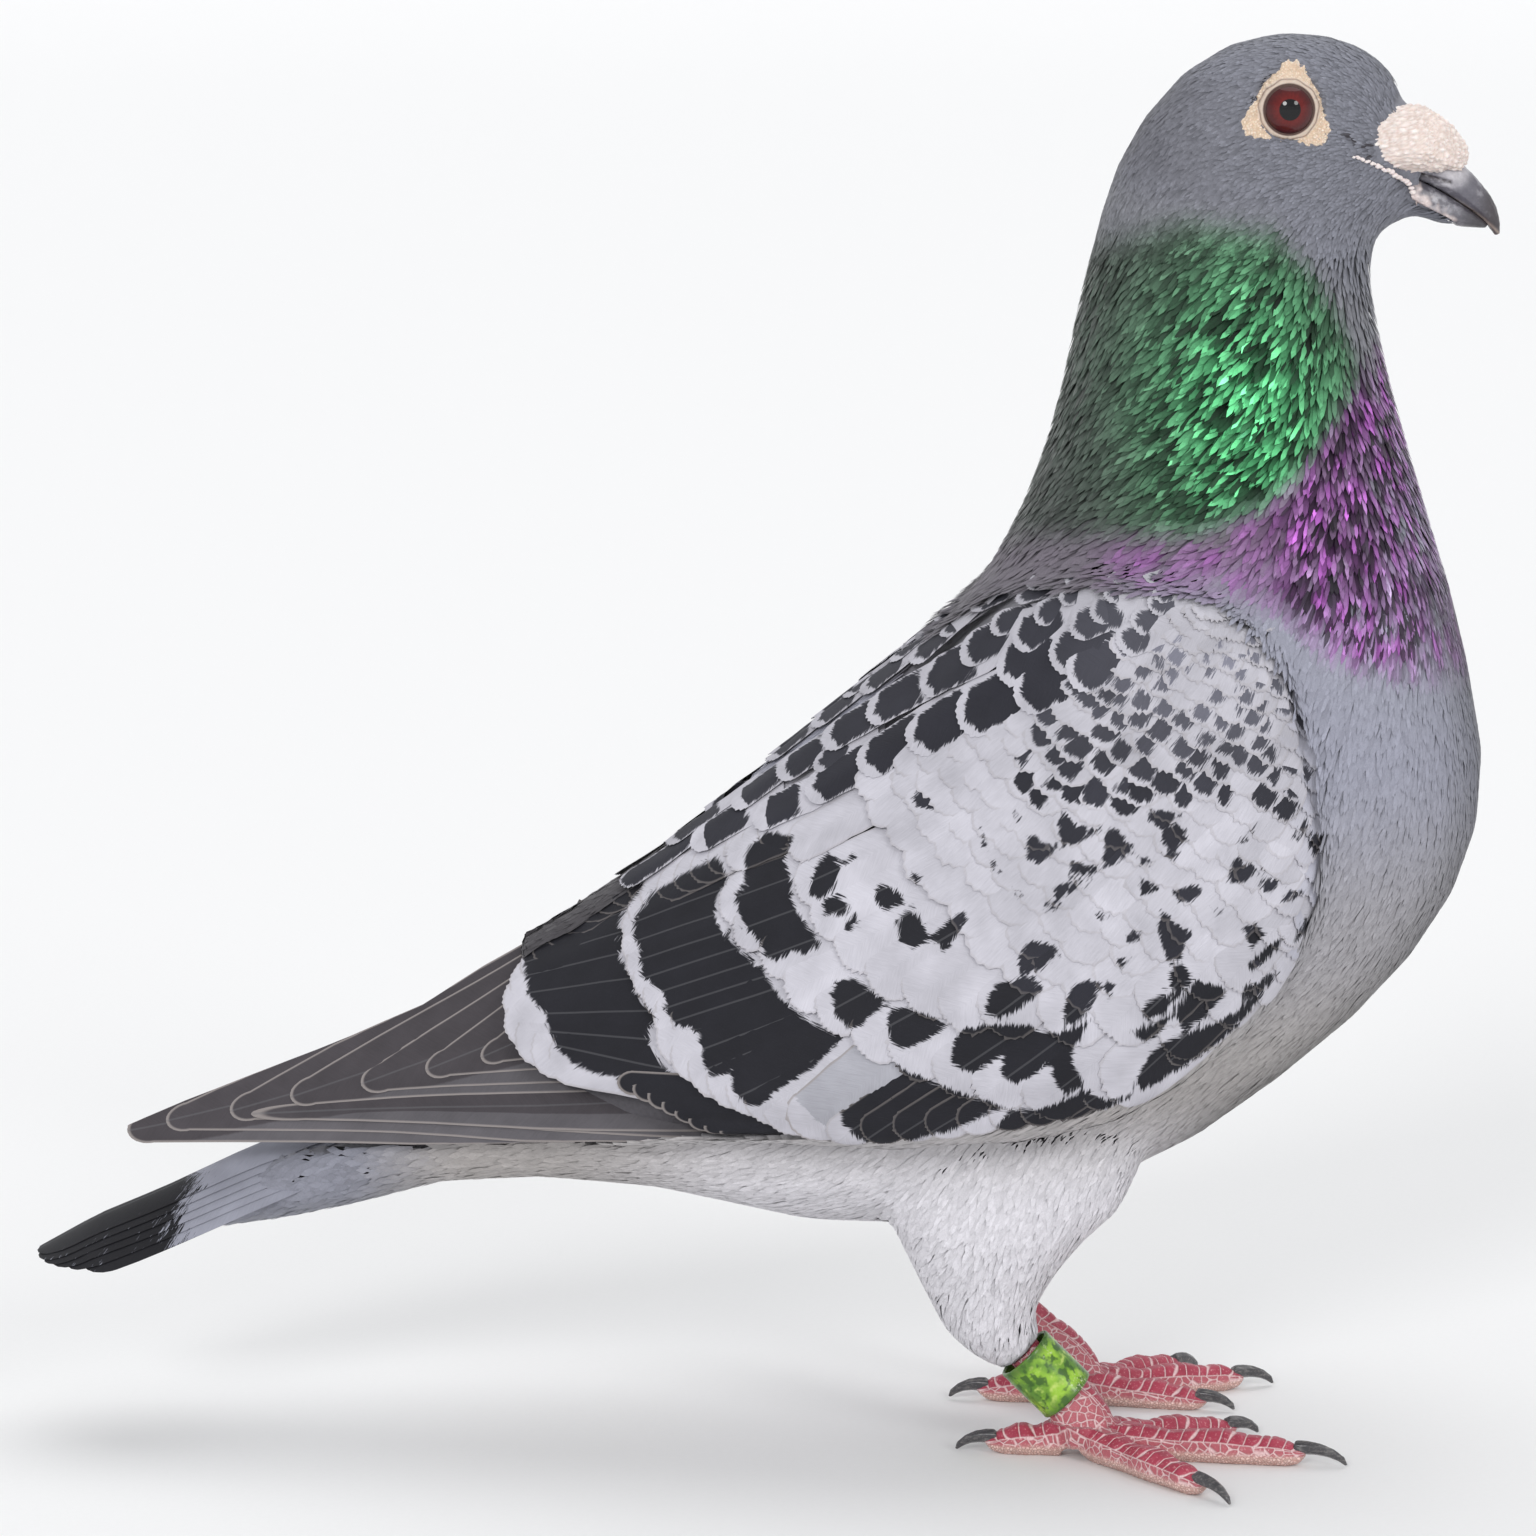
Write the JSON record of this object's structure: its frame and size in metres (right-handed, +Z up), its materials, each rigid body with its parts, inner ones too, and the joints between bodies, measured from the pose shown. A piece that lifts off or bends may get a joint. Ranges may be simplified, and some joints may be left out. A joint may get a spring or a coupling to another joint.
{
  "type": "standing homing pigeon model",
  "caption": "Life-size still model of a homing pigeon standing on both feet, with folded wings, closed tail, bare feet and a plain leg band.",
  "frame": {"origin": "on the floor, under the middle of the whole bird's bounding box", "axes": "+X the way the bird faces, from tail to bill; +Y to the bird's left; +Z up"},
  "size_m": [0.2627, 0.1061, 0.253],
  "materials": {
    "head_feathers": "matt slate grey feathers",
    "neck_feathers": "glossy green and purple feathers",
    "body_feathers": "soft blue grey to white feathers",
    "wing_feathers": "matt pale grey feathers with dark checks",
    "flight_feathers": "smooth dark grey feathers",
    "bill_horn": "polished dark horn",
    "bare_skin": "pale granular skin",
    "eyeball": "wet dark red",
    "leg_skin": "crimson scales with pale seams",
    "claw_horn": "satin grey horn",
    "band_plastic": "plain green plastic"
  },
  "bodies": {
    "root": {"head": "head_feathers", "neck": "neck_feathers", "trunk": "body_feathers", "thigh_right": "body_feathers", "thigh_left": "body_feathers", "wing_shield_right": "wing_feathers", "wing_shield_left": "wing_feathers", "wing_primaries_right": "flight_feathers", "wing_primaries_left": "flight_feathers", "tail": "flight_feathers", "upper_bill": "bill_horn", "lower_bill": "bill_horn", "wattle_right": "bare_skin", "wattle_left": "bare_skin", "eye_cere_right": "bare_skin", "eye_cere_left": "bare_skin", "eye_right": "eyeball", "eye_left": "eyeball", "shank_right": "leg_skin", "shank_left": "leg_skin", "toe_1_right": "leg_skin", "toe_2_right": "leg_skin", "toe_3_right": "leg_skin", "toe_4_right": "leg_skin", "toe_1_left": "leg_skin", "toe_2_left": "leg_skin", "toe_3_left": "leg_skin", "toe_4_left": "leg_skin", "claw_1_right": "claw_horn", "claw_2_right": "claw_horn", "claw_3_right": "claw_horn", "claw_4_right": "claw_horn", "claw_1_left": "claw_horn", "claw_2_left": "claw_horn", "claw_3_left": "claw_horn", "claw_4_left": "claw_horn", "leg_band": "band_plastic"}
  },
  "joints": []
}
